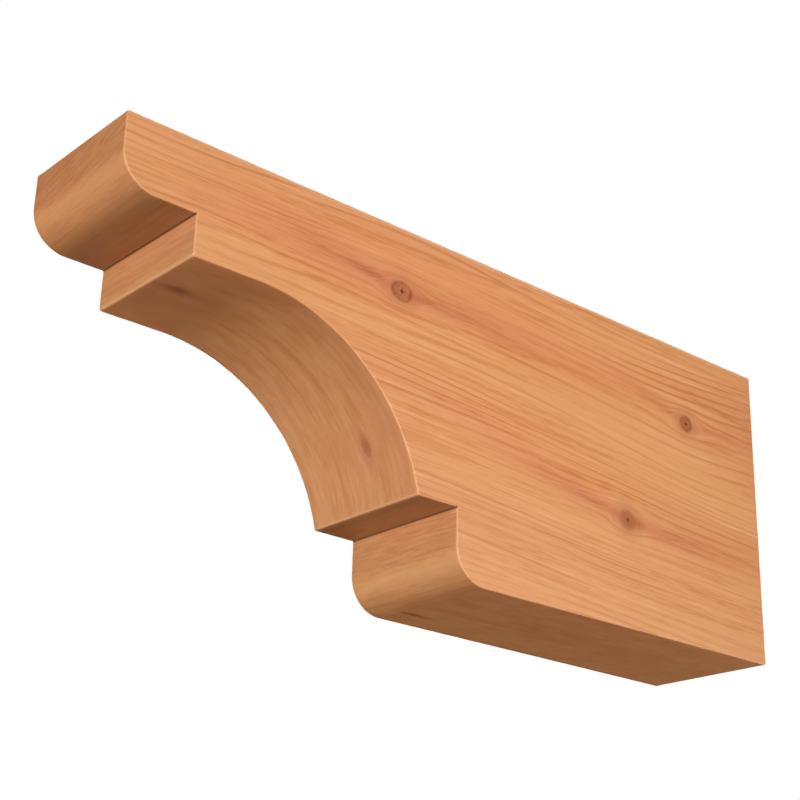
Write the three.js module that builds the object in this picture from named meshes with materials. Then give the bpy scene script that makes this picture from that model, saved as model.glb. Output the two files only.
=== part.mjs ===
// A carved timber rafter tail: one straight piece of softwood whose underside is cut to a
// rounded nose, a fillet, a deep cove, a ledge and a rounded toe.
// Millimetres, +Z up. The square back end lies in the plane Y = 0 with the origin at its
// centre, the tail runs out along -Y, and its width lies along X.
import * as THREE from "three";

// Driving dimensions of the timber
const LENGTH = 762; // back end to nose
const HEIGHT = 305; // toe to top
const WIDTH = 140; // side to side

// Driving dimensions of the cuts in the underside
const BLOCK_HEIGHT = 65; // of the nose, and of the toe below the ledge
const NOSE_DEPTH = 70; // nose front to fillet
const TOE_LENGTH = 412; // back end to the toe's front
const FILLET_HEIGHT = 37; // upright step between the nose and the cove
const LEDGE_DEPTH = 44; // level step between the cove and the toe
const COVE_RADIUS = 180; // the cove runs level from the fillet, then falls on this radius
const ROUND_RADIUS = 33; // lower front corner of the nose and of the toe
const SIDE_EASE = 1.5; // sanded radius of the arrises round both side faces
const CROSS_EASE = 2.5; // sanded radius of the arrises that run across the width

// Steps along each arc
const COVE_STEPS = 36;
const ROUND_STEPS = 14;
const EASE_STEPS = 3;

const TOP = HEIGHT / 2;
const BOTTOM = -HEIGHT / 2;
const QUARTER = Math.PI / 2;
const point = (y, z) => new THREE.Vector2(y, z);

// Points of an arc about a centre, from one angle to another
function arc(centre, radius, from, to, steps) {
  const clockwise = to < from;
  return new THREE.EllipseCurve(centre.x, centre.y, radius, radius, from, to, clockwise).getPoints(steps);
}

// Points that round the outer corner between the edges before -> corner -> after
function roundedCorner(before, corner, after, radius, steps) {
  const towardsBefore = before.clone().sub(corner).normalize();
  const towardsAfter = after.clone().sub(corner).normalize();
  const halfAngle = Math.acos(THREE.MathUtils.clamp(towardsBefore.dot(towardsAfter), -1, 1)) / 2;
  const bisector = towardsBefore.clone().add(towardsAfter).normalize();
  const centre = corner.clone().addScaledVector(bisector, radius / Math.sin(halfAngle));
  const tangent = radius / Math.tan(halfAngle);
  const first = corner.clone().addScaledVector(towardsBefore, tangent).sub(centre);
  const last = corner.clone().addScaledVector(towardsAfter, tangent).sub(centre);
  const turn = Math.atan2(first.cross(last), first.dot(last));
  const start = first.angle();
  return arc(centre, radius, start, start + turn, steps);
}

// The cove's round, from its crown, level with the fillet's foot, down to the ledge's front edge
function covePoints(filletFoot, ledgeFront) {
  const drop = filletFoot.y - ledgeFront.y;
  const reach = Math.sqrt(COVE_RADIUS ** 2 - (COVE_RADIUS - drop) ** 2);
  const centre = point(ledgeFront.x - reach, filletFoot.y - COVE_RADIUS);
  const end = ledgeFront.clone().sub(centre).angle();
  return arc(centre, COVE_RADIUS, QUARTER, end, COVE_STEPS);
}

// The side profile in (Y, Z), anticlockwise: along the bottom from the nose's underside
// to the back end, and home along the top
function profile() {
  const noseFront = -LENGTH;
  const noseUnder = TOP - BLOCK_HEIGHT;
  const filletFace = noseFront + NOSE_DEPTH;
  const toeFront = -TOE_LENGTH;
  const toeTop = BOTTOM + BLOCK_HEIGHT;

  const noseTop = point(noseFront, TOP);
  const noseCorner = point(noseFront, noseUnder);
  const noseHollow = point(filletFace, noseUnder);
  const filletFoot = point(filletFace, noseUnder - FILLET_HEIGHT);
  const ledgeFront = point(toeFront - LEDGE_DEPTH, toeTop);
  const toeHollow = point(toeFront, toeTop);
  const toeCorner = point(toeFront, BOTTOM);
  const backBottom = point(0, BOTTOM);
  const backTop = point(0, TOP);

  // The last point of the round is the ledge's front edge, which is eased
  const cove = covePoints(filletFoot, ledgeFront).slice(0, -1);
  return [
    ...roundedCorner(backTop, noseTop, noseCorner, CROSS_EASE, EASE_STEPS),
    ...roundedCorner(noseTop, noseCorner, noseHollow, ROUND_RADIUS, ROUND_STEPS),
    noseHollow,
    ...roundedCorner(noseHollow, filletFoot, cove[0], CROSS_EASE, EASE_STEPS),
    ...cove,
    ...roundedCorner(cove.at(-1), ledgeFront, toeHollow, CROSS_EASE, EASE_STEPS),
    toeHollow,
    ...roundedCorner(toeHollow, toeCorner, backBottom, ROUND_RADIUS, ROUND_STEPS),
    ...roundedCorner(toeCorner, backBottom, backTop, CROSS_EASE, EASE_STEPS),
    ...roundedCorner(backBottom, backTop, noseTop, CROSS_EASE, EASE_STEPS),
  ];
}

// The timber is that profile run across the width, with both side arrises eased
function timber() {
  const geometry = new THREE.ExtrudeGeometry(new THREE.Shape(profile()), {
    depth: WIDTH - 2 * SIDE_EASE,
    steps: 1,
    bevelEnabled: true,
    bevelThickness: SIDE_EASE,
    bevelSize: SIDE_EASE,
    bevelOffset: -SIDE_EASE,
    bevelSegments: EASE_STEPS,
  });
  const wood = new THREE.MeshStandardMaterial({ color: 0xdb9662, roughness: 0.55, metalness: 0 });
  const mesh = new THREE.Mesh(geometry, wood);
  mesh.name = "rafter_tail";
  // Profile across to Y, profile up to Z, and the run of the extrusion to X
  mesh.rotation.set(QUARTER, 0, QUARTER, "ZYX");
  mesh.position.x = SIDE_EASE - WIDTH / 2;
  return mesh;
}

const rafterTail = new THREE.Group();
rafterTail.add(timber());

export default rafterTail;
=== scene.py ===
import math

import bmesh
import bpy
from mathutils import Matrix, Vector


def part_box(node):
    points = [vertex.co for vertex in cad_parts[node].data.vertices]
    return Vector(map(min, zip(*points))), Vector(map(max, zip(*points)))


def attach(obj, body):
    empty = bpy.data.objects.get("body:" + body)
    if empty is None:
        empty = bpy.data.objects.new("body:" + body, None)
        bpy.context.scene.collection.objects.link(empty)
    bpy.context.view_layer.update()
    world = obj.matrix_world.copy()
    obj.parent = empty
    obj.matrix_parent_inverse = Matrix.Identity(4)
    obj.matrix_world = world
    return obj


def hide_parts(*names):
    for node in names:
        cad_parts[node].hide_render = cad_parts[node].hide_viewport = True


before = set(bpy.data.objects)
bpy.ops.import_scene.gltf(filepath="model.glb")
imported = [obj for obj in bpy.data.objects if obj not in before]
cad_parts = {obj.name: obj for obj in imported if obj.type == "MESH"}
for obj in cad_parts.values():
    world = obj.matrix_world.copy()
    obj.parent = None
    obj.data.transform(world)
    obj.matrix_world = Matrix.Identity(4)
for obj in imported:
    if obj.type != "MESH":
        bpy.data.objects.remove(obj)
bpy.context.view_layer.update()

lowCorner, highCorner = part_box("rafter_tail")
blank = highCorner - lowCorner  # the sawn timber before it is cut
print("frame loaded, timber is", [round(side, 4) for side in blank])


# node helpers

def feed(tree, socket, value):
    # a socket takes another node's output or a plain value
    if isinstance(value, bpy.types.NodeSocket):
        tree.links.new(value, socket)
    else:
        socket.default_value = value


def toolsFor(tree):
    def add(kind, inputs=None, out=0, **settings):
        node = tree.nodes.new(kind)
        for name, value in settings.items():
            setattr(node, name, value)
        for key, value in (inputs or {}).items():
            feed(tree, node.inputs[key], value)
        return node.outputs[out]

    def calc(operation, *values):
        return add("ShaderNodeMath", dict(enumerate(values)), operation=operation)

    def vector(x, y, z=0.0):
        return add("ShaderNodeCombineXYZ", {"X": x, "Y": y, "Z": z})

    def split(socket):
        first = add("ShaderNodeSeparateXYZ", {0: socket})
        return first.node.outputs

    return add, calc, vector, split


def paintToolsFor(tree):
    add = toolsFor(tree)[0]

    def span(value, low, high, start=0.0, end=1.0):
        # eases from start to end as the value goes from low to high
        return add("ShaderNodeMapRange", {0: value, 1: low, 2: high, 3: start, 4: end},
                   interpolation_type="SMOOTHSTEP")

    def mixColor(share, first, second):
        return add("ShaderNodeMix", {0: share, 6: first, 7: second}, out=2, data_type="RGBA")

    return span, mixColor


def tone(red, green, blue):
    # a colour as read off a screen, turned into Blender's linear values
    def linear(level):
        share = level / 255
        return share / 12.92 if share <= 0.04045 else ((share + 0.055) / 1.055) ** 2.4
    return (linear(red), linear(green), linear(blue), 1.0)


def addSockets(tree, direction, sockets):
    for name, kind in sockets.items():
        tree.interface.new_socket(name=name, in_out=direction, socket_type="NodeSocket" + kind)


# each face has a stretch of the grain map to itself, this far apart
faceStride = 2.0
faces = {"rightSide": 0, "leftSide": 1, "fronts": 2, "cove": 3, "top": 4, "bottom": 5, "backEnd": 6}

timber = {
    "length": blank.y,
    "height": blank.z,
    "width": blank.x,
    "blockHeight": 0.065,  # nose, and toe below the ledge
    "noseDepth": 0.070,
    "toeLength": 0.412,
    "filletHeight": 0.037,
    "ledgeDepth": 0.044,
    "coveRadius": 0.180,
    "roundRadius": 0.033,
    "sideEase": 0.0016,  # sanded arris round both sides
    "crossEase": 0.0022,  # sanded arris across the width
    "hollowEase": 0.0004,  # what the saw leaves in an inner corner
    "easeWander": 0.35,  # hand sanding varies by this share
    "ripple": 0.00025,  # planing waves on the cut faces
    "noseLean": 0.30,  # how far the grain on the nose climbs across the width
    "meshStep": 0.004,
    "checkDepth": 0.0016,  # drying star in a knot's heart
    "acrossSteps": 22,
    "easeSteps": 5,
    "seed": 7.3,
}

# distance along the outline from the nose's top edge to the foot of the fillet, where the cove starts
coveStart = (timber["blockHeight"] + timber["noseDepth"] + timber["filletHeight"]
             - (2 - math.pi / 2) * timber["roundRadius"])

# knots, by the face they show on; along and across are in metres on that face's own grain map,
# and drift is how the red streak climbs or falls towards the nose and towards the back end
knots = [
    {"face": "rightSide", "along": -0.4798, "across": 0.0912, "radius": 0.0090, "stretch": 1.26,
     "softness": 0.14, "depth": 0.85, "bark": 0.80, "noseDrift": -0.17, "backDrift": -0.03,
     "reach": 0.19, "blush": 0.95, "star": 0.0041},
    {"face": "rightSide", "along": -0.1065, "across": 0.0718, "radius": 0.0080, "stretch": 1.10,
     "softness": 0.30, "depth": 1.00, "bark": 0.60, "noseDrift": -0.25, "backDrift": -0.02,
     "reach": 0.13, "blush": 0.75, "star": 0.0040},
    {"face": "rightSide", "along": -0.1968, "across": -0.0492, "radius": 0.0092, "stretch": 1.10,
     "softness": 0.65, "depth": 0.95, "bark": 0.20, "noseDrift": -0.17, "backDrift": -0.06,
     "reach": 0.17, "blush": 1.00, "star": 0.0024},
    {"face": "leftSide", "along": -0.3120, "across": 0.0610, "radius": 0.0085, "stretch": 1.15,
     "softness": 0.20, "depth": 0.60, "bark": 0.65, "noseDrift": -0.10, "backDrift": 0.03,
     "reach": 0.15, "blush": 0.85, "star": 0.0024},
    {"face": "leftSide", "along": -0.0890, "across": -0.0700, "radius": 0.0070, "stretch": 1.10,
     "softness": 0.50, "depth": 0.80, "bark": 0.25, "noseDrift": -0.12, "backDrift": -0.05,
     "reach": 0.12, "blush": 0.80, "star": 0.0020},
    {"face": "cove", "along": coveStart + 0.0250, "across": 0.0096, "radius": 0.0042, "stretch": 2.00,
     "softness": 0.90, "depth": 0.66, "bark": 0.20, "noseDrift": 0.02, "backDrift": -0.05,
     "reach": 0.030, "blush": 0.70, "star": 0.0},
    {"face": "cove", "along": coveStart + 0.2494, "across": 0.0231, "radius": 0.0045, "stretch": 1.60,
     "softness": 0.70, "depth": 0.60, "bark": 0.30, "noseDrift": 0.00, "backDrift": 0.00,
     "reach": 0.022, "blush": 0.60, "star": 0.0},
    {"face": "top", "along": -0.5100, "across": -0.0180, "radius": 0.0080, "stretch": 1.20,
     "softness": 0.40, "depth": 0.70, "bark": 0.40, "noseDrift": 0.05, "backDrift": -0.04,
     "reach": 0.12, "blush": 0.80, "star": 0.0},
    {"face": "bottom", "along": -0.3650, "across": -0.0380, "radius": 0.0024, "stretch": 5.50,
     "softness": 0.85, "depth": 1.00, "bark": 0.00, "noseDrift": 0.00, "backDrift": 0.00,
     "reach": 0.012, "blush": 0.40, "star": 0.0},
]


# geometry: the side outline is drawn from its corners, rounded, run across the width and capped

def buildTimberTree():
    tree = bpy.data.node_groups.new("timberSweep", "GeometryNodeTree")
    kinds = {float: "Float", int: "Int"}
    addSockets(tree, "INPUT", {name: kinds[type(value)] for name, value in timber.items()})
    addSockets(tree, "INPUT", {face + "Finish": "Material" for face in faces})
    addSockets(tree, "OUTPUT", {"Geometry": "Geometry"})
    add, calc, vector, split = toolsFor(tree)
    span, _ = paintToolsFor(tree)
    given = tree.nodes.new("NodeGroupInput").outputs
    index = add("GeometryNodeInputIndex")
    place = add("GeometryNodeInputPosition")

    def pick(dataType, choice, values):
        node = tree.nodes.new("GeometryNodeIndexSwitch")
        node.data_type = dataType
        for _ in range(len(values) - len(node.index_switch_items)):
            node.index_switch_items.new()
        tree.links.new(choice, node.inputs["Index"])
        for number, value in enumerate(values):
            feed(tree, node.inputs[number + 1], value)
        return node.outputs[0]

    def keep(geometry, name, value, dataType="FLOAT", domain="POINT"):
        return add("GeometryNodeStoreNamedAttribute",
                   {"Geometry": geometry, "Name": name, "Value": value},
                   data_type=dataType, domain=domain)

    def kept(name, dataType="FLOAT"):
        return add("GeometryNodeInputNamedAttribute", {"Name": name}, data_type=dataType)

    def either(test, no, yes, kind="FLOAT"):
        return add("GeometryNodeSwitch", {"Switch": test, "False": no, "True": yes}, input_type=kind)

    def both(first, *others):
        for other in others:
            first = calc("MULTIPLY", first, other)
        return first

    def join(*parts):
        node = tree.nodes.new("GeometryNodeJoinGeometry")
        for part in parts:
            tree.links.new(part, node.inputs[0])
        return node.outputs[0]

    def moveIn(start, direction, distance):
        step = add("ShaderNodeVectorMath", {0: direction, "Scale": distance}, operation="SCALE")
        return add("ShaderNodeVectorMath", {0: start, 1: step}, operation="ADD")

    # corners of the outline, in (along, up), anticlockwise from the top of the nose
    top = calc("MULTIPLY", given["height"], 0.5)
    bottom = calc("MULTIPLY", given["height"], -0.5)
    noseFront = calc("MULTIPLY", given["length"], -1.0)
    noseUnder = calc("SUBTRACT", top, given["blockHeight"])
    filletFace = calc("ADD", noseFront, given["noseDepth"])
    crown = calc("SUBTRACT", noseUnder, given["filletHeight"])
    toeFront = calc("MULTIPLY", given["toeLength"], -1.0)
    toeTop = calc("ADD", bottom, given["blockHeight"])
    ledgeEdge = calc("SUBTRACT", toeFront, given["ledgeDepth"])

    # the cove is a large rounding of the corner where its two end tangents meet
    drop = calc("SUBTRACT", crown, toeTop)
    rest = calc("SUBTRACT", calc("MULTIPLY", given["coveRadius"], 2.0), drop)
    reach = calc("SQRT", calc("MULTIPLY", drop, rest))
    tangent = calc("DIVIDE", calc("MULTIPLY", given["coveRadius"], reach), rest)
    coveTurn = calc("ADD", calc("SUBTRACT", ledgeEdge, reach), tangent)
    coveRound = calc("SUBTRACT", given["coveRadius"], calc("MULTIPLY", given["crossEase"], 1.25))

    roundSteps, coveSteps, hollowSteps = 16, 56, 2
    eased = (given["crossEase"], given["easeSteps"])
    rounded = (given["roundRadius"], roundSteps)
    hollow = (given["hollowEase"], hollowSteps)
    corners = [
        (noseFront, top, eased),
        (noseFront, noseUnder, rounded),
        (filletFace, noseUnder, hollow),
        (filletFace, crown, eased),
        (coveTurn, crown, (coveRound, coveSteps)),
        (ledgeEdge, toeTop, eased),
        (toeFront, toeTop, hollow),
        (toeFront, bottom, rounded),
        (0.0, bottom, eased),
        (0.0, top, eased),
    ]
    cornerPlace = pick("VECTOR", index, [vector(along, up) for along, up, _ in corners])
    cornerRadius = pick("FLOAT", index, [finish[0] for _, _, finish in corners])
    cornerSteps = pick("INT", index, [finish[1] for _, _, finish in corners])

    def cornersLike(finish):
        others = pick("BOOLEAN", index, [corner[2] is not finish for corner in corners])
        dots = add("GeometryNodeMeshLine", {"Count": len(corners)})
        dots = add("GeometryNodeSetPosition", {"Geometry": dots, "Position": cornerPlace})
        return add("GeometryNodeDeleteGeometry", {"Geometry": dots, "Selection": others}, domain="POINT")

    outline = add("GeometryNodeCurvePrimitiveCircle", {"Resolution": len(corners)})
    outline = add("GeometryNodeSetPosition", {"Geometry": outline, "Position": cornerPlace})
    outline = add("GeometryNodeFilletCurve",
                  {"Curve": outline, "Count": cornerSteps, "Radius": cornerRadius}, mode="POLY")

    # straight stretches are cut into short steps
    following = add("GeometryNodeOffsetPointInCurve", {"Point Index": index, "Offset": 1}, out=1)
    nextPlace = add("GeometryNodeFieldAtIndex", {"Value": place, "Index": following},
                    data_type="FLOAT_VECTOR", domain="POINT")
    gap = add("ShaderNodeVectorMath", {0: place, 1: nextPlace}, out=1, operation="DISTANCE")
    cuts = calc("FLOOR", calc("DIVIDE", gap, given["meshStep"]))
    outline = add("GeometryNodeSubdivideCurve", {"Curve": outline, "Cuts": cuts})

    tangentX, tangentY, _ = split(add("GeometryNodeInputTangent"))
    inward = vector(calc("MULTIPLY", tangentY, -1.0), tangentX)

    def wanderingEase(sideSeed):
        seed = calc("ADD", given["seed"], sideSeed)
        noise = add("ShaderNodeTexNoise", {"Vector": place, "W": seed, "Scale": 70.0, "Detail": 3.0},
                    noise_dimensions="4D")
        swing = calc("MULTIPLY", calc("SUBTRACT", noise, 0.5), calc("MULTIPLY", given["easeWander"], 4.0))
        return calc("MULTIPLY", given["sideEase"], calc("ADD", 1.0, swing))

    def distanceTo(finish):
        return add("GeometryNodeProximity", {"Geometry": cornersLike(finish), "Sample Position": place},
                   out=1, target_element="POINTS")

    toArris = distanceTo(eased)
    toHollow = distanceTo(hollow)
    outline = keep(outline, "run", add("GeometryNodeSplineParameter", out=1))
    easeEnd = calc("MULTIPLY", given["crossEase"], 1.3)
    outline = keep(outline, "crossArris", span(toArris, 0.0005, easeEnd, 1.0, 0.0))
    outline = keep(outline, "toHollow", toHollow)
    outline = keep(outline, "easeRight", wanderingEase(0.0))
    outline = keep(outline, "easeLeft", wanderingEase(11.0))
    outline = keep(outline, "inward", inward, "FLOAT_VECTOR")
    outline = keep(outline, "outlinePlace", place, "FLOAT_VECTOR")

    # stations across the width: a few round each sanded arris, the rest even
    easeStations = calc("MULTIPLY", calc("ADD", given["easeSteps"], 1.0), 2.0)
    stations = calc("ADD", given["acrossSteps"], easeStations)
    last = calc("SUBTRACT", stations, 1.0)
    rail = add("GeometryNodeCurvePrimitiveLine", {"Start": (0.0, 0.0, 0.0), "End": (0.0, 0.0, 1.0)})
    rail = add("GeometryNodeResampleCurve", {"Curve": rail, "Count": stations}, mode="COUNT")
    fromRight = calc("SUBTRACT", last, index)
    nearest = calc("MINIMUM", index, fromRight)
    turn = calc("MINIMUM", calc("DIVIDE", nearest, given["easeSteps"]), 1.0)
    angle = calc("MULTIPLY", turn, math.pi / 2)
    inEase = calc("ADD", given["easeSteps"], 0.5)
    onSide = calc("SUBTRACT", calc("LESS_THAN", fromRight, inEase), calc("LESS_THAN", index, inEase))
    halfWidth = calc("MULTIPLY", given["width"], 0.5)
    middleHalf = calc("SUBTRACT", halfWidth, calc("MULTIPLY", given["sideEase"], 2.5))
    even = add("ShaderNodeMapRange", {0: index, 1: given["easeSteps"],
                                      2: calc("SUBTRACT", last, given["easeSteps"]), 3: -1.0, 4: 1.0})
    inMiddle = calc("SUBTRACT", 1.0, calc("ABSOLUTE", onSide))
    acrossPlace = calc("ADD", calc("MULTIPLY", onSide, halfWidth), both(inMiddle, even, middleHalf))
    rail = keep(rail, "station", vector(acrossPlace, calc("SUBTRACT", 1.0, calc("COSINE", angle)),
                                        calc("SUBTRACT", 1.0, calc("SINE", angle))), "FLOAT_VECTOR")
    rail = keep(rail, "onSide", onSide)
    rail = keep(rail, "sideArris", calc("SUBTRACT", 1.0, turn))

    # the run, pulled in round the arrises and rippled a little where it was planed
    run = add("GeometryNodeCurveToMesh", {"Curve": rail, "Profile Curve": outline})
    stationX, draw, sink = split(kept("station", "FLOAT_VECTOR"))
    side = kept("onSide")
    ease = either(calc("GREATER_THAN", side, 0.0), kept("easeLeft"), kept("easeRight"))
    x = calc("SUBTRACT", stationX, both(side, ease, draw))
    wavePlace = vector(kept("run"), calc("MULTIPLY", x, 0.6), given["seed"])
    waves = add("ShaderNodeTexNoise", {"Vector": wavePlace, "Scale": 28.0, "Detail": 1.0})
    ripple = both(calc("SUBTRACT", 1.0, calc("ABSOLUTE", side)), waves, given["ripple"])
    pulled = moveIn(kept("outlinePlace", "FLOAT_VECTOR"), kept("inward", "FLOAT_VECTOR"),
                    calc("ADD", calc("MULTIPLY", ease, sink), ripple))
    along, up, _ = split(pulled)
    run = add("GeometryNodeSetPosition", {"Geometry": run, "Position": vector(x, along, up)})

    # flat sides, pierced and sunk by the drying stars in the knots
    def buildSide(face, sign, easeName):
        rim = moveIn(kept("outlinePlace", "FLOAT_VECTOR"), kept("inward", "FLOAT_VECTOR"), kept(easeName))
        rim = add("GeometryNodeSetPosition", {"Geometry": outline, "Position": rim})
        stars = []
        for number, knot in enumerate(knots):
            if knot["face"] != face or not knot["star"]:
                continue
            star = add("GeometryNodeCurveStar", {"Points": 4, "Inner Radius": knot["star"] * 0.28,
                                                 "Outer Radius": knot["star"], "Twist": 0.2})
            stars.append(add("GeometryNodeTransform",
                             {"Geometry": star, "Translation": (knot["along"], knot["across"], 0.0),
                              "Rotation": (0.0, 0.0, 0.15 * (number - 1)), "Scale": (0.75, 1.15, 1.0)}))
        flat = add("GeometryNodeFillCurve", {"Curve": join(rim, *stars)}, mode="TRIANGLES")
        mouths = add("GeometryNodeFillCurve", {"Curve": join(*stars)}, mode="NGONS")
        pit = add("GeometryNodeExtrudeMesh", {"Mesh": mouths, "Offset": vector(0.0, 0.0, -1.0),
                                              "Offset Scale": given["checkDepth"], "Individual": True})
        pit = add("GeometryNodeScaleElements", {"Geometry": pit, "Selection": pit.node.outputs["Top"],
                                                "Scale": 0.3})
        pit = keep(pit, "check", 1.0, domain="FACE")
        local = split(place)
        out = calc("MULTIPLY", calc("ADD", halfWidth, local[2]), float(sign))
        flank = add("GeometryNodeSetPosition", {"Geometry": join(flat, pit),
                                                "Position": vector(out, local[0], local[1])})
        if sign < 0:
            flank = add("GeometryNodeFlipFaces", {"Mesh": flank})
        return flank

    solid = join(run, buildSide("rightSide", 1, "easeRight"), buildSide("leftSide", -1, "easeLeft"))
    solid = add("GeometryNodeMergeByDistance", {"Geometry": solid, "Distance": 0.00002})

    # which cut each face belongs to
    faceX, faceY, faceZ = split(place)
    normal = split(add("GeometryNodeInputNormal"))
    tiltX, tiltY, tiltZ = (calc("ABSOLUTE", part) for part in normal)
    edge = given["crossEase"]
    mostly = 0.7  # a face that looks at least this much one way
    notTop = calc("LESS_THAN", faceZ, calc("SUBTRACT", top, edge))
    inCove = both(calc("GREATER_THAN", faceY, calc("ADD", filletFace, 0.0008)),
                  calc("LESS_THAN", faceY, calc("SUBTRACT", ledgeEdge, 0.0004)), notTop)
    onTop = both(calc("SUBTRACT", 1.0, notTop), calc("GREATER_THAN", tiltZ, mostly))
    onBottom = both(calc("LESS_THAN", faceZ, calc("ADD", bottom, edge)),
                    calc("GREATER_THAN", tiltZ, mostly),
                    calc("GREATER_THAN", faceY, calc("ADD", toeFront, given["roundRadius"])))
    onEnd = both(calc("GREATER_THAN", faceY, calc("MULTIPLY", edge, -1.0)),
                 calc("GREATER_THAN", tiltY, mostly))
    onFlank = calc("MAXIMUM", calc("GREATER_THAN", tiltX, 0.85), kept("check"))
    flank = either(calc("GREATER_THAN", faceX, 0.0), faces["leftSide"], faces["rightSide"], "INT")
    cut = either(inCove, faces["fronts"], faces["cove"], "INT")
    cut = either(onTop, cut, faces["top"], "INT")
    cut = either(onBottom, cut, faces["bottom"], "INT")
    cut = either(onEnd, cut, faces["backEnd"], "INT")
    cut = either(onFlank, cut, flank, "INT")
    solid = keep(solid, "cut", cut, "INT", "FACE")

    # grain map: metres along and across the fibres, each cut on its own stretch of the map
    cut = kept("cut", "INT")
    runHere = kept("run")
    lean = add("ShaderNodeMapRange", {0: runHere, 1: 0.0, 2: given["blockHeight"],
                                      3: given["noseLean"], 4: 0.0})
    frontAcross = calc("ADD", runHere, calc("MULTIPLY", lean, faceX))
    grainAlong = pick("FLOAT", cut, [faceY, faceY, faceX, runHere, faceY, faceY, faceX])
    grainAcross = pick("FLOAT", cut, [faceZ, faceZ, frontAcross, faceX, faceX, faceX, faceZ])
    grainAcross = calc("ADD", grainAcross, calc("MULTIPLY", cut, faceStride))
    solid = keep(solid, "grain", vector(grainAlong, grainAcross), "FLOAT2", "CORNER")
    offFlank = calc("GREATER_THAN", cut, faces["leftSide"] + 0.5)
    arris = both(offFlank, calc("MAXIMUM", kept("crossArris"), kept("sideArris")))
    solid = keep(solid, "arris", arris, domain="CORNER")
    solid = keep(solid, "hollowGap", either(offFlank, 1.0, kept("toHollow")), domain="CORNER")
    solid = keep(solid, "facing", normal[2])
    solid = keep(solid, "aboveToe", calc("GREATER_THAN", faceZ, calc("SUBTRACT", toeTop, 0.003)))

    # flat sides, smooth rounds, crisp inner corners
    solid = add("GeometryNodeSetShadeSmooth", {"Geometry": solid, "Shade Smooth": offFlank}, domain="FACE")
    gentle = calc("LESS_THAN", add("GeometryNodeInputMeshEdgeAngle"), math.radians(32))
    solid = add("GeometryNodeSetShadeSmooth", {"Geometry": solid, "Shade Smooth": gentle}, domain="EDGE")
    solid = add("GeometryNodeRealizeInstances", {"Geometry": solid})
    for face, number in faces.items():
        solid = add("GeometryNodeSetMaterial", {"Geometry": solid, "Material": given[face + "Finish"],
                                                "Selection": calc("COMPARE", cut, float(number), 0.5)})
    leave = tree.nodes.new("NodeGroupOutput")
    tree.links.new(solid, leave.inputs["Geometry"])
    return tree


# shared shader effects

knotHabit = {
    "eddyStretch": 2.2,  # how much longer than wide the fibres stay parted
    "eddySize": 1.20,  # in knot radii, as the rest
    "roughness": 0.48,
    "barkAt": 0.94,
    "barkThick": 0.27,
    "secondBarkAt": 0.66,
    "secondBarkThick": 0.10,
    "haloOut": 2.8,
    "heartOut": 0.36,
    "streakWidth": 0.70,
    "streakSpread": 0.062,  # wider by this much for each metre away
}


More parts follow.
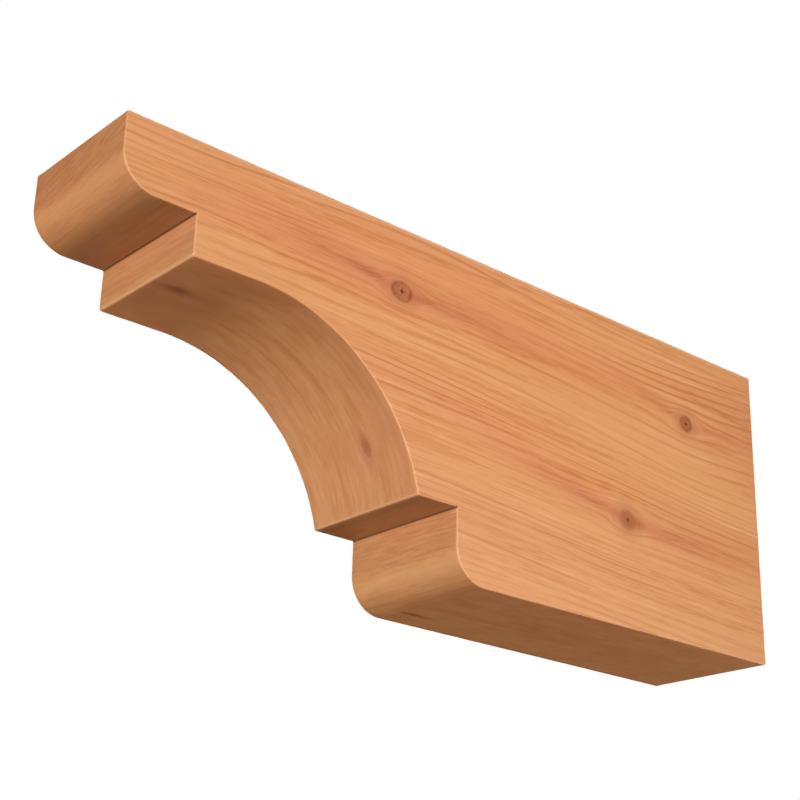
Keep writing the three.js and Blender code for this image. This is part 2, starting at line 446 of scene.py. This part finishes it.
def buildKnotGroup():
    tree = bpy.data.node_groups.new("knotFlow", "ShaderNodeTree")
    takes = ("Along", "Across", "Knot Along", "Knot Across", "Radius", "Stretch", "Softness", "Depth",
             "Bark", "Nose Drift", "Back Drift", "Reach", "Blush", "Unevenness")
    gives = ("Shift", "Core", "Ring", "Halo", "Heart", "Streak")
    addSockets(tree, "INPUT", {name: "Float" for name in takes})
    addSockets(tree, "OUTPUT", {name: "Float" for name in gives})
    _, calc, _, _ = toolsFor(tree)
    span, _ = paintToolsFor(tree)
    given = tree.nodes.new("NodeGroupInput").outputs
    leave = tree.nodes.new("NodeGroupOutput").inputs

    du = calc("SUBTRACT", given["Along"], given["Knot Along"])
    dv = calc("SUBTRACT", given["Across"], given["Knot Across"])

    # fibres part and close again round the knot, as water does round a post
    eddy = calc("DIVIDE", du, knotHabit["eddyStretch"])
    away = calc("ADD", calc("MULTIPLY", eddy, eddy), calc("MULTIPLY", dv, dv))
    post = calc("POWER", calc("MULTIPLY", given["Radius"], knotHabit["eddySize"]), 2.0)
    push = calc("POWER", calc("MINIMUM", calc("DIVIDE", post, calc("ADD", away, 1e-8)), 1.0), 1.5)
    tree.links.new(calc("MULTIPLY", calc("MULTIPLY", dv, push), -1.0), leave["Shift"])

    # 0 at the knot's heart, 1 at its bark
    oval = calc("DIVIDE", du, given["Stretch"])
    out = calc("SQRT", calc("ADD", calc("MULTIPLY", oval, oval), calc("MULTIPLY", dv, dv)))
    out = calc("DIVIDE", out, given["Radius"])
    rough = calc("ADD", knotHabit["roughness"], calc("MULTIPLY", given["Softness"], 0.55))
    out = calc("ADD", out, calc("MULTIPLY", calc("SUBTRACT", given["Unevenness"], 0.5), rough))
    outer = calc("ADD", 1.0, calc("MULTIPLY", given["Softness"], 0.6))
    inner = calc("SUBTRACT", 1.0, given["Softness"])
    tree.links.new(calc("MULTIPLY", span(out, outer, inner), given["Depth"]), leave["Core"])
    halo = span(out, knotHabit["haloOut"], 0.9)
    tree.links.new(calc("MULTIPLY", halo, given["Depth"]), leave["Halo"])
    tree.links.new(span(out, knotHabit["heartOut"], 0.06), leave["Heart"])

    # a broken line of bark, doubled on the nose side
    patchy = calc("MULTIPLY", span(given["Unevenness"], 0.40, 0.62), given["Bark"])
    thick = calc("ADD", knotHabit["barkThick"], calc("MULTIPLY", given["Softness"], 0.3))
    bark = span(calc("ABSOLUTE", calc("SUBTRACT", out, knotHabit["barkAt"])), thick, 0.02)
    second = calc("ABSOLUTE", calc("SUBTRACT", out, knotHabit["secondBarkAt"]))
    second = span(second, knotHabit["secondBarkThick"], 0.02)
    noseSide = span(du, 0.0, calc("MULTIPLY", given["Radius"], -0.7))
    bark = calc("MAXIMUM", bark, calc("MULTIPLY", calc("MULTIPLY", second, noseSide), 0.7))
    whole = calc("ADD", calc("MULTIPLY", patchy, 0.75), calc("MULTIPLY", given["Bark"], 0.25))
    tree.links.new(calc("MULTIPLY", bark, whole), leave["Ring"])

    # the red streak that trails off along the grain both ways
    towardsBack = calc("GREATER_THAN", du, 0.0)
    slope = calc("ADD", calc("MULTIPLY", towardsBack, given["Back Drift"]),
                 calc("MULTIPLY", calc("SUBTRACT", 1.0, towardsBack), given["Nose Drift"]))
    offLine = calc("SUBTRACT", dv, calc("MULTIPLY", slope, du))
    far = calc("ABSOLUTE", du)
    wide = calc("ADD", calc("MULTIPLY", given["Radius"], knotHabit["streakWidth"]),
                calc("MULTIPLY", far, knotHabit["streakSpread"]))
    spread = calc("DIVIDE", offLine, wide)
    body = calc("EXPONENT", calc("MULTIPLY", calc("MULTIPLY", spread, spread), -1.0))
    tail = calc("POWER", calc("DIVIDE", far, given["Reach"]), 2.0)
    tail = calc("EXPONENT", calc("MULTIPLY", tail, -1.0))
    tree.links.new(calc("MULTIPLY", calc("MULTIPLY", body, tail), given["Blush"]), leave["Streak"])
    return tree


def buildFibreGroup():
    # one layer of stretched fibre lines, about 0.5 in the middle
    tree = bpy.data.node_groups.new("fibreLines", "ShaderNodeTree")
    takes = ("Along", "Across", "Per Metre Along", "Per Metre Across", "Detail", "Roughness")
    addSockets(tree, "INPUT", {name: "Float" for name in takes})
    addSockets(tree, "OUTPUT", {"Lines": "Float"})
    add, calc, vector, _ = toolsFor(tree)
    given = tree.nodes.new("NodeGroupInput").outputs
    stretched = vector(calc("MULTIPLY", given["Along"], given["Per Metre Along"]),
                       calc("MULTIPLY", given["Across"], given["Per Metre Across"]))
    lines = add("ShaderNodeTexNoise", {"Vector": stretched, "Scale": 1.0, "Detail": given["Detail"],
                                       "Roughness": given["Roughness"]}, noise_dimensions="2D")
    leave = tree.nodes.new("NodeGroupOutput")
    tree.links.new(lines, leave.inputs["Lines"])
    return tree


def buildEdgeGroup():
    # sanded arrises go pale, as wear and painted highlight; inner corners get a little dust and painted
    # shade
    tree = bpy.data.node_groups.new("sandedEdges", "ShaderNodeTree")
    addSockets(tree, "INPUT", {"Color": "Color", "Pale": "Color", "Dusk": "Color", "Grit": "Float",
                               "Paleness": "Float", "Duskiness": "Float"})
    addSockets(tree, "OUTPUT", {"Color": "Color"})
    add, calc, _, _ = toolsFor(tree)
    span, mixColor = paintToolsFor(tree)
    given = tree.nodes.new("NodeGroupInput").outputs
    arris = add("ShaderNodeAttribute", out="Fac", attribute_name="arris")
    gap = add("ShaderNodeAttribute", out="Fac", attribute_name="hollowGap")
    hollow = span(gap, 0.0022, 0.0003)
    wearAndHighlight = calc("MULTIPLY", calc("MULTIPLY", arris, given["Paleness"]),
                calc("ADD", 0.45, calc("MULTIPLY", given["Grit"], 1.1)))
    pale = mixColor(wearAndHighlight, given["Color"], given["Pale"])
    dusk = mixColor(calc("MULTIPLY", hollow, given["Duskiness"]), pale, given["Dusk"])
    leave = tree.nodes.new("NodeGroupOutput")
    tree.links.new(dusk, leave.inputs["Color"])
    return tree


knotGroup = buildKnotGroup()
fibreGroup = buildFibreGroup()
edgeGroup = buildEdgeGroup()
print("shared effects built")

cedar = {
    "dark": tone(196, 119, 63),
    "middle": tone(218, 149, 97),
    "light": tone(234, 175, 128),
    "lateLine": tone(178, 98, 46),
    "red": tone(203, 121, 80),
    "rust": tone(176, 98, 60),
    "honey": tone(226, 164, 108),
    # painted highlight colour for the band on the rounds
    "sanded": tone(233, 169, 111),
    # painted highlight colour along the side's top edge
    "paintedTopHighlight": tone(222, 182, 146),
    # painted light colour for the cove's crown
    "warm": tone(244, 156, 99),
    # umber and walnut carry the painted shade on the fronts
    "umber": tone(186, 127, 79),
    "walnut": tone(148, 108, 70),
    "knotHeart": tone(156, 78, 41),
    "knotWood": tone(175, 104, 63),
    "knotRing": tone(132, 69, 36),
    # pale: wear and painted highlight on the arrises; dusk: dust and painted shade in the inner corners
    "pale": tone(250, 200, 152),
    "dusk": tone(84, 42, 20),
    "paleness": 0.34,  # on the sanded arrises
    "duskiness": 0.80,  # in the inner corners
    "roughness": 0.42,
    "gloss": 0.30,
    "bump": 0.13,
}

# how strong the figure and the late wood lines are on each cut, how many short flecks the saw left
# across the grain, and how blotchy the oil dried
cutLooks = {
    "rightSide": {"figure": 0.90, "late": 0.64, "flecks": 0.0, "blotches": 0.0},
    "leftSide": {"figure": 0.90, "late": 0.64, "flecks": 0.0, "blotches": 0.0},
    "fronts": {"figure": 0.80, "late": 0.50, "flecks": 0.55, "blotches": 0.22},
    "cove": {"figure": 0.56, "late": 0.25, "flecks": 0.30, "blotches": 0.28},
    "top": {"figure": 0.85, "late": 0.60, "flecks": 0.0, "blotches": 0.0},
    "bottom": {"figure": 0.45, "late": 0.50, "flecks": 0.12, "blotches": 0.25},
}

# fibre layers: how many to the metre along and across the grain, then detail and roughness
fibreLayers = {
    "broad": (1.6, 14.0, 0.6, 0.5),
    "bands": (3.0, 80.0, 2.0, 0.55),
    "lines": (5.0, 230.0, 2.0, 0.55),
    "threads": (34.0, 560.0, 3.0, 0.6),
    "stretches": (3.5, 24.0, 2.0, 0.5),  # where the figure is busy or quiet
    "dried": (26.0, 70.0, 3.0, 0.6),
    "flecks": (34.0, 420.0, 3.0, 0.65),
    "pores": (36.0, 700.0, 1.0, 0.5),
    "shiver": (70.0, 160.0, 2.0, 0.5),
    "waver": (9.0, 26.0, 2.0, 0.5),
    "bend": (2.0, 4.0, 0.0, 0.5),
}
wanders = {"shiver": 0.0003, "waver": 0.0004, "bend": 0.009}  # metres the grain strays sideways
figureShares = {"bands": 0.36, "lines": 0.34, "threads": 0.30}
lateRings = {"perMetre": 125.0, "drift": 7.0}
runOut = {"full": 0.065, "fullBelow": 0.02}  # slope of the grain on the sides, none at the top edge

# how much of each tint is laid on
tintShares = {
    "honey": 0.50, "red": 0.28, "sapwood": 0.30, "sapLines": 0.45, "paintedTopHighlight": 0.45,
    "paintedUnderShade": 0.50, "ledgeRelief": 0.30, "deep": 0.34, "sanded": 0.60, "paintedFlatShade": 0.22,
    "nose": 0.20, "fillet": 0.17, "toe": 0.06, "pores": 0.55,
    "coveFoot": 0.15, "coveHead": 0.50,
    "vein": 0.85, "wisps": 0.24, "heart": 0.5,
}

# metres down the outline from the nose's top edge where a tint starts and is full
outlineMarks = {
    "flatNose": (0.045, 0.028),
    "nose": (0.085, 0.055),
    "filletTop": (0.115, 0.130),
    "filletFoot": (0.200, 0.180),
    "ledge": (0.38, 0.40),
    "toe": (0.42, 0.44),
    "coveHead": (coveStart + 0.12, coveStart + 0.02),
    "coveFoot": (coveStart + 0.10, coveStart + 0.26),
}


def startMaterial(name):
    material = bpy.data.materials.new(name)
    material.use_nodes = True
    tree = material.node_tree
    tree.nodes.clear()
    surface = tree.nodes.new("ShaderNodeBsdfPrincipled")
    leave = tree.nodes.new("ShaderNodeOutputMaterial")
    tree.links.new(surface.outputs["BSDF"], leave.inputs["Surface"])
    return material, tree, surface


def groupNode(tree, group, inputs):
    node = tree.nodes.new("ShaderNodeGroup")
    node.node_tree = group
    for name, value in inputs.items():
        feed(tree, node.inputs[name], value)
    return node.outputs


def edgedColor(tree, wood, grit):
    return groupNode(tree, edgeGroup, {"Color": wood, "Pale": cedar["pale"], "Dusk": cedar["dusk"],
                                       "Grit": grit, "Paleness": cedar["paleness"],
                                       "Duskiness": cedar["duskiness"]})["Color"]


def makeFaceFinish(face):
    material, tree, surface = startMaterial(face + "Cedar")
    look = cutLooks[face]
    mapStart = faces[face] * faceStride
    add, calc, vector, split = toolsFor(tree)
    span, mixColor = paintToolsFor(tree)

    def fibres(layer, across):
        perAlong, perAcross, detail, roughness = fibreLayers[layer]
        return groupNode(tree, fibreGroup, {"Along": along, "Across": across, "Per Metre Along": perAlong,
                                            "Per Metre Across": perAcross, "Detail": detail,
                                            "Roughness": roughness})["Lines"]

    def layerValue(name):
        return add("ShaderNodeAttribute", out="Fac", attribute_name=name)

    def tint(base, mask, share, colour):
        return mixColor(calc("MULTIPLY", mask, share), base, cedar[colour])

    along, across, _ = split(add("ShaderNodeUVMap", uv_map="grain"))
    grit = add("ShaderNodeTexNoise", {"Vector": vector(along, across), "Scale": 140.0, "Detail": 3.0},
               noise_dimensions="2D")

    # knots bend the fibres and trail red streaks
    shift, core, ring, halo, heart, streak = 0.0, 0.0, 0.0, 0.0, 0.0, 0.0
    for knot in knots:
        if knot["face"] != face:
            continue
        flow = groupNode(tree, knotGroup, {
            "Along": along, "Across": across, "Knot Along": knot["along"],
            "Knot Across": knot["across"] + mapStart, "Radius": knot["radius"],
            "Stretch": knot["stretch"], "Softness": knot["softness"], "Depth": knot["depth"],
            "Bark": knot["bark"], "Nose Drift": knot["noseDrift"], "Back Drift": knot["backDrift"],
            "Reach": knot["reach"], "Blush": knot["blush"], "Unevenness": grit})
        shift = calc("ADD", shift, flow["Shift"])
        core = calc("MAXIMUM", core, flow["Core"])
        ring = calc("MAXIMUM", ring, flow["Ring"])
        halo = calc("MAXIMUM", halo, flow["Halo"])
        heart = calc("MAXIMUM", heart, flow["Heart"])
        streak = calc("MAXIMUM", streak, flow["Streak"])

    # slow bends in the grain, and a fine shiver that breaks the lines up
    stray = 0.0
    for layer, reach in wanders.items():
        sway = calc("MULTIPLY", calc("SUBTRACT", fibres(layer, across), 0.5), reach)
        stray = calc("ADD", sway, stray)
    flowing = calc("ADD", calc("ADD", across, shift), stray)

    # on the sides the grain falls slowly towards the back, less so near the top
    onSide = face in ("rightSide", "leftSide")
    if onSide:
        up = calc("SUBTRACT", across, mapStart)
        tilt = add("ShaderNodeMapRange", {0: up, 1: blank.z / 2, 2: runOut["fullBelow"], 3: 0.0,
                                          4: runOut["full"]})
        flowing = calc("ADD", flowing, calc("MULTIPLY", tilt, calc("ADD", along, timber["toeLength"])))

    broad = fibres("broad", flowing)
    bands = fibres("bands", flowing)
    lines = fibres("lines", flowing)
    threads = fibres("threads", flowing)

    # late wood: narrow darker lines, uneven in spacing and strength
    rings = calc("FRACT", calc("ADD", calc("MULTIPLY", flowing, lateRings["perMetre"]),
                               calc("MULTIPLY", broad, lateRings["drift"])))
    late = calc("MULTIPLY", span(rings, 0.55, 0.88), span(rings, 1.0, 0.91))
    late = calc("MULTIPLY", late, span(bands, 0.42, 0.62))

    # early wood, from dark fibres to light ones, in quiet and busy stretches
    figure = calc("ADD", calc("MULTIPLY", bands, figureShares["bands"]),
                  calc("MULTIPLY", lines, figureShares["lines"]))
    figure = calc("ADD", figure, calc("MULTIPLY", threads, figureShares["threads"]))
    wood = mixColor(span(figure, 0.36, 0.51), cedar["dark"], cedar["middle"])
    wood = mixColor(span(figure, 0.50, 0.76), wood, cedar["light"])
    wood = tint(wood, late, look["late"], "lateLine")
    busy = span(fibres("stretches", flowing), 0.36, 0.62, 0.62, 1.12)
    if onSide:
        sapwood = span(up, 0.03, -blank.z / 2)  # paler towards the bottom, with clearer lines
        busy = calc("ADD", busy, calc("MULTIPLY", sapwood, tintShares["sapLines"]))
    wood = mixColor(calc("MULTIPLY", busy, look["figure"]), cedar["middle"], wood)
    wood = tint(wood, span(broad, 0.45, 0.72), tintShares["honey"], "honey")
    wood = tint(wood, span(broad, 0.50, 0.28), tintShares["red"], "red")
    if onSide:
        wood = tint(wood, sapwood, tintShares["sapwood"], "light")
        # painted highlight: a pale line along the side's top edge
        paintedTopHighlight = span(up, blank.z / 2 - 0.0045, blank.z / 2 - 0.0015)  # along the top edge
        wood = tint(wood, paintedTopHighlight, tintShares["paintedTopHighlight"], "paintedTopHighlight")
    if look["blotches"]:
        dried = fibres("dried", flowing)
        wood = tint(wood, span(dried, 0.54, 0.34), look["blotches"], "dark")
        wood = tint(wood, span(dried, 0.52, 0.68), look["blotches"], "honey")
    facing = layerValue("facing")  # 1 looks up, -1 looks down
    if look["flecks"]:
        flecks = span(fibres("flecks", flowing), 0.52, 0.34)
        flecks = calc("MULTIPLY", flecks, span(facing, -1.0, -0.6, 0.25, 1.0))
        wood = tint(wood, flecks, look["flecks"], "dark")

    if face == "fronts":
        # painted light by which way the face looks: a painted highlight on the rounds, painted shade on the
        # undersides of nose and ledge
        down = calc("SUBTRACT", across, mapStart)
        # painted shade on the undersides of nose and ledge, eased off on the ledge, and browner into the
        # inner corners
        relief = calc("MULTIPLY", span(down, *outlineMarks["ledge"]), tintShares["ledgeRelief"])
        paintedUnderShade = calc("MULTIPLY", span(facing, -0.80, -0.98), layerValue("aboveToe"))
        paintedUnderShade = calc("MULTIPLY", paintedUnderShade, calc("SUBTRACT", 1.0, relief))
        wood = tint(wood, paintedUnderShade, tintShares["paintedUnderShade"], "umber")
        deep = calc("MULTIPLY", paintedUnderShade, span(layerValue("hollowGap"), 0.045, 0.0))
        wood = tint(wood, deep, tintShares["deep"], "walnut")  # browner into the inner corners
        # painted highlight: a pale band where the rounds look part way down
        sanded = calc("MULTIPLY", span(facing, -0.02, -0.36), span(facing, -0.90, -0.45))
        wood = tint(wood, sanded, tintShares["sanded"], "sanded")
        # painted shade: the flat fronts and the faces that look up are darkened towards umber
        wood = tint(wood, span(facing, -0.25, 0.0), tintShares["paintedFlatShade"], "umber")
        wood = tint(wood, span(down, *outlineMarks["nose"]), tintShares["nose"], "red")
        fillet = calc("MULTIPLY", span(down, *outlineMarks["filletTop"]),
                      span(down, *outlineMarks["filletFoot"]))
        wood = tint(wood, fillet, tintShares["fillet"], "light")
        wood = tint(wood, span(down, *outlineMarks["toe"]), tintShares["toe"], "light")
        pores = calc("MULTIPLY", span(fibres("pores", flowing), 0.38, 0.27),
                     span(down, *outlineMarks["flatNose"]))
        wood = tint(wood, pores, tintShares["pores"], "rust")
    if face == "cove":
        # painted light: the cove's foot lighter, and its crown, which looks down, lightened and warmed
        wood = tint(wood, span(along, *outlineMarks["coveFoot"]), tintShares["coveFoot"], "light")
        wood = tint(wood, span(along, *outlineMarks["coveHead"]), tintShares["coveHead"], "warm")

    # red streaks, then the knots themselves, then the checks in their hearts
    blush = calc("MULTIPLY", streak, calc("ADD", 0.15, calc("MULTIPLY", bands, 0.95)))
    wood = mixColor(calc("MINIMUM", blush, 0.9), wood, cedar["red"])
    vein = calc("MULTIPLY", calc("POWER", streak, 4.0), span(figure, 0.58, 0.42))
    wood = tint(wood, vein, tintShares["vein"], "rust")
    wisps = calc("MULTIPLY", span(threads, 0.40, 0.28), span(streak, 0.35, 0.80))
    wood = tint(wood, wisps, tintShares["wisps"], "knotRing")
    wood = tint(wood, halo, calc("ADD", 0.20, calc("MULTIPLY", grit, 0.45)), "knotWood")
    wood = mixColor(core, wood, cedar["knotWood"])
    wood = mixColor(ring, wood, cedar["knotRing"])
    wood = tint(wood, calc("MULTIPLY", heart, core), tintShares["heart"], "knotRing")
    wood = mixColor(layerValue("check"), wood, cedar["knotHeart"])
    tree.links.new(edgedColor(tree, wood, grit), surface.inputs["Base Color"])

    dull = calc("ADD", cedar["roughness"], calc("MULTIPLY", figure, 0.20))
    tree.links.new(dull, surface.inputs["Roughness"])
    surface.inputs["Specular IOR Level"].default_value = cedar["gloss"]
    height = calc("ADD", calc("MULTIPLY", lines, 0.6), calc("MULTIPLY", threads, 0.4))
    height = calc("SUBTRACT", height, calc("MULTIPLY", ring, 0.4))
    bump = add("ShaderNodeBump", {"Strength": cedar["bump"], "Distance": 0.0006, "Height": height})
    tree.links.new(bump, surface.inputs["Normal"])
    return material


endGrain = {
    "heartAcross": 0.014,  # the tree's heart, low in the end face
    "heartUp": -0.052,
    "ringsPerMetre": 240.0,
    "ringDrift": 9.0,
    "bow": 0.016,  # metres the rings stray from round
    "early": tone(216, 150, 100),
    "late": tone(172, 104, 62),
    "pith": tone(122, 68, 40),
    "checks": tone(92, 50, 28),
    "checkCount": 1.1,  # to each radian
    "checkShare": 0.85,
    "checkGape": 0.0008,
    "roughness": 0.58,
    "gloss": 0.25,
    "bump": 0.30,
}


def makeEndFinish():
    material, tree, surface = startMaterial("sawnEnd")
    add, calc, vector, split = toolsFor(tree)
    span, mixColor = paintToolsFor(tree)

    def noise(scale, detail):
        return add("ShaderNodeTexNoise", {"Vector": vector(x, z), "Scale": scale, "Detail": detail},
                   noise_dimensions="2D")

    x, _, z = split(add("ShaderNodeTexCoord", out="Object"))
    dx = calc("SUBTRACT", x, endGrain["heartAcross"])
    dz = calc("SUBTRACT", z, endGrain["heartUp"])
    grit = noise(220.0, 4.0)
    slow = noise(9.0, 2.0)
    radius = calc("SQRT", calc("ADD", calc("MULTIPLY", dx, dx), calc("MULTIPLY", dz, dz)))
    bowed = calc("ADD", radius, calc("MULTIPLY", calc("SUBTRACT", slow, 0.5), endGrain["bow"]))

    # good and bad years: the spacing and the depth of the rings both drift
    years = add("ShaderNodeTexNoise", {"W": calc("MULTIPLY", bowed, 26.0), "Scale": 1.0, "Detail": 2.0},
                noise_dimensions="1D")
    phase = calc("ADD", calc("MULTIPLY", bowed, endGrain["ringsPerMetre"]),
                 calc("MULTIPLY", years, endGrain["ringDrift"]))
    saw = calc("FRACT", phase)
    late = calc("MULTIPLY", span(saw, 0.30, 0.90), span(saw, 1.0, 0.93))
    share = calc("MULTIPLY", late, calc("ADD", 0.15, calc("MULTIPLY", span(years, 0.30, 0.70), 0.65)))
    wood = mixColor(share, endGrain["early"], endGrain["late"])
    wood = mixColor(calc("MULTIPLY", span(grit, 0.55, 0.30), 0.30), wood, endGrain["late"])
    wood = mixColor(span(bowed, 0.0060, 0.0020), wood, endGrain["pith"])

    # drying checks open at the heart and die away
    spoke = calc("MULTIPLY", calc("ARCTAN2", dx, dz), endGrain["checkCount"])
    spoke = calc("ADD", spoke, calc("MULTIPLY", slow, 0.35))
    offSpoke = calc("ABSOLUTE", calc("SUBTRACT", calc("FRACT", spoke), 0.5))
    offSpoke = calc("MULTIPLY", calc("DIVIDE", offSpoke, endGrain["checkCount"]), radius)
    number = add("ShaderNodeTexWhiteNoise", {"W": calc("FLOOR", spoke)}, noise_dimensions="1D")
    longest = calc("ADD", 0.006, calc("MULTIPLY", calc("MULTIPLY", number, number), 0.075))
    gape = calc("MULTIPLY", span(radius, longest, 0.0), endGrain["checkGape"])
    cracked = span(calc("SUBTRACT", offSpoke, gape), 0.0002, -0.0002)
    cracked = calc("MULTIPLY", cracked, span(radius, longest, calc("MULTIPLY", longest, 0.8)))
    wood = mixColor(calc("MULTIPLY", cracked, endGrain["checkShare"]), wood, endGrain["checks"])
    tree.links.new(edgedColor(tree, wood, grit), surface.inputs["Base Color"])
    dull = calc("ADD", endGrain["roughness"], calc("MULTIPLY", grit, 0.2))
    tree.links.new(dull, surface.inputs["Roughness"])
    surface.inputs["Specular IOR Level"].default_value = endGrain["gloss"]
    height = calc("SUBTRACT", calc("MULTIPLY", late, 0.5), calc("MULTIPLY", cracked, 1.5))
    height = calc("ADD", height, calc("MULTIPLY", grit, 0.5))
    bump = add("ShaderNodeBump", {"Strength": endGrain["bump"], "Distance": 0.0005, "Height": height})
    tree.links.new(bump, surface.inputs["Normal"])
    return material


finishes = {face + "Finish": makeFaceFinish(face) for face in faces if face != "backEnd"}
finishes["backEndFinish"] = makeEndFinish()
print("finishes made:", len(finishes))


def makeTimber():
    tree = buildTimberTree()
    carrier = bpy.data.objects.new("timberCarrier", bpy.data.meshes.new("timberCarrier"))
    bpy.context.scene.collection.objects.link(carrier)
    modifier = carrier.modifiers.new("timberSweep", "NODES")
    modifier.node_group = tree
    values = {**timber, **finishes}
    for item in tree.interface.items_tree:
        if item.in_out == "INPUT":
            modifier[item.identifier] = values[item.name]
    graph = bpy.context.evaluated_depsgraph_get()
    mesh = bpy.data.meshes.new_from_object(carrier.evaluated_get(graph), depsgraph=graph)
    bpy.data.objects.remove(carrier)

    # one closed skin, facing out, with only the layers the finishes read
    spare = ("run", "crossArris", "toHollow", "easeRight", "easeLeft", "inward", "outlinePlace", "station",
             "onSide", "sideArris", "cut")
    for name in spare:
        mesh.attributes.remove(mesh.attributes[name])
    skin = bmesh.new()
    skin.from_mesh(mesh)
    bmesh.ops.remove_doubles(skin, verts=skin.verts, dist=0.00001)
    bmesh.ops.recalc_face_normals(skin, faces=skin.faces)
    openEdges = sum(1 for edge in skin.edges if len(edge.link_faces) != 2)
    print("timber:", len(skin.verts), "points,", len(skin.faces), "faces,", openEdges, "open edges, volume",
          round(skin.calc_volume(signed=True), 5))
    skin.to_mesh(mesh)
    skin.free()
    mesh.name = "rafterTimber"
    piece = bpy.data.objects.new("rafterTimber", mesh)
    bpy.context.scene.collection.objects.link(piece)
    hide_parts("rafter_tail")
    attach(piece, "root")


makeTimber()


# studio: pale floor well below, a camera looking up, soft lamps

studio = {
    "floorHeight": -2.2,
    "floorSize": 12.0,
    "floorTone": tone(238, 234, 228),
    "floorShade": tone(164, 150, 134),  # what it throws back at the timber
    "backdrop": (1.0, 1.0, 1.0, 1.0),
    "bounce": (1.0, 0.78, 0.60, 1.0),
    "ambient": 0.028,
    "sideLamp": {"power": 15.5, "size": 1.4, "spread": 80, "place": (2.60, -0.56, -0.04),
                 "aim": (0.07, -0.44, 0.0)},
    "frontLamp": {"power": 57.5, "size": 2.4, "spread": 80, "place": (0.0, -6.37, -1.25),
                  "aim": (0.0, -0.50, 0.0)},
    "lowLamp": {"power": 20.0, "size": 1.6, "spread": 80, "place": (0.0, 3.60, -1.37),
                "aim": (0.0, -0.20, 0.0), "tint": (1.0, 0.86, 0.67)},
    "backLamp": {"power": 6.0, "size": 1.6, "spread": 70, "place": (-0.9, 3.2, 1.1),
                 "aim": (0.0, -0.10, 0.0)},
    "leftLamp": {"power": 12.0, "size": 1.4, "spread": 80, "place": (-2.60, 0.45, 0.60),
                 "aim": (-0.07, -0.30, 0.0)},
    "topLamp": {"power": 6.5, "size": 1.2, "spread": 50, "place": (-0.35, -0.38, 2.70),
                "aim": (0.0, -0.38, 0.0)},
}


def makeFloor():
    half = studio["floorSize"] / 2
    mesh = bpy.data.meshes.new("studioFloor")
    ground = [(-half, -half), (half, -half), (half, half), (-half, half)]
    mesh.from_pydata([(x, y, studio["floorHeight"]) for x, y in ground], [], [(0, 1, 2, 3)])
    floor = bpy.data.objects.new("studioFloor", mesh)
    bpy.context.scene.collection.objects.link(floor)
    material, tree, surface = startMaterial("paleFloor")
    surface.inputs["Base Color"].default_value = studio["floorShade"]
    surface.inputs["Roughness"].default_value = 0.8
    surface.inputs["Emission Color"].default_value = studio["floorTone"]
    seen = toolsFor(tree)[0]("ShaderNodeLightPath", out="Is Camera Ray")  # pale, but lights nothing
    tree.links.new(seen, surface.inputs["Emission Strength"])
    mesh.materials.append(material)


def makeLamp(name):
    lamp = studio[name]
    light = bpy.data.lights.new(name, "AREA")
    light.energy = lamp["power"]
    light.size = lamp["size"]
    light.color = lamp.get("tint", (1.0, 1.0, 1.0))
    light.spread = math.radians(lamp["spread"])  # gridded, so little falls on the floor
    holder = bpy.data.objects.new(name, light)
    bpy.context.scene.collection.objects.link(holder)
    holder.location = lamp["place"]
    look = Vector(lamp["aim"]) - Vector(lamp["place"])
    holder.rotation_euler = look.to_track_quat("-Z", "Y").to_euler()


def makeWorld():
    world = bpy.data.worlds.new("paleStudio")
    bpy.context.scene.world = world
    world.use_nodes = True
    tree = world.node_tree
    tree.nodes.clear()
    add = toolsFor(tree)[0]
    _, mixColor = paintToolsFor(tree)
    seen = add("ShaderNodeLightPath", out="Is Camera Ray")
    ambient = [level * studio["ambient"] for level in studio["bounce"]]
    sky = add("ShaderNodeBackground", {"Color": mixColor(seen, ambient, studio["backdrop"])})
    leave = tree.nodes.new("ShaderNodeOutputWorld")
    tree.links.new(sky, leave.inputs["Surface"])


makeFloor()
for lampName in ("sideLamp", "frontLamp", "lowLamp", "backLamp", "leftLamp", "topLamp"):
    makeLamp(lampName)
makeWorld()
bpy.context.scene.view_settings.view_transform = "Standard"
print("studio lit")

view = {
    "azimuth": 49.74,  # degrees round from the nose towards the right side
    "elevation": -22.28,  # the eye is below the timber
    "roll": 1.55,
    "distance": 1.4917,
    "slideRight": -0.0283,
    "slideUp": 0.0363,
    "lens": 74.16,
    "sensor": 36.0,
}


def makeCamera():
    azimuth, elevation, roll = (math.radians(view[name]) for name in ("azimuth", "elevation", "roll"))
    back = Vector((math.sin(azimuth) * math.cos(elevation), -math.cos(azimuth) * math.cos(elevation),
                   math.sin(elevation)))
    right = (-back).cross(Vector((0, 0, 1))).normalized()
    up = right.cross(-back)
    turn = Matrix.Rotation(roll, 3, back)
    right, up = turn @ right, turn @ up
    middle = (lowCorner + highCorner) / 2
    eye = middle + back * view["distance"] + right * view["slideRight"] + up * view["slideUp"]
    lens = bpy.data.cameras.new("photoCamera")
    lens.lens = view["lens"]
    lens.sensor_width = view["sensor"]
    lens.clip_end = 60
    camera = bpy.data.objects.new("photoCamera", lens)
    bpy.context.scene.collection.objects.link(camera)
    camera.matrix_world = Matrix((right, up, back)).transposed().to_4x4()
    camera.location = eye
    bpy.context.scene.camera = camera
    print("camera at", [round(value, 3) for value in eye])


makeCamera()
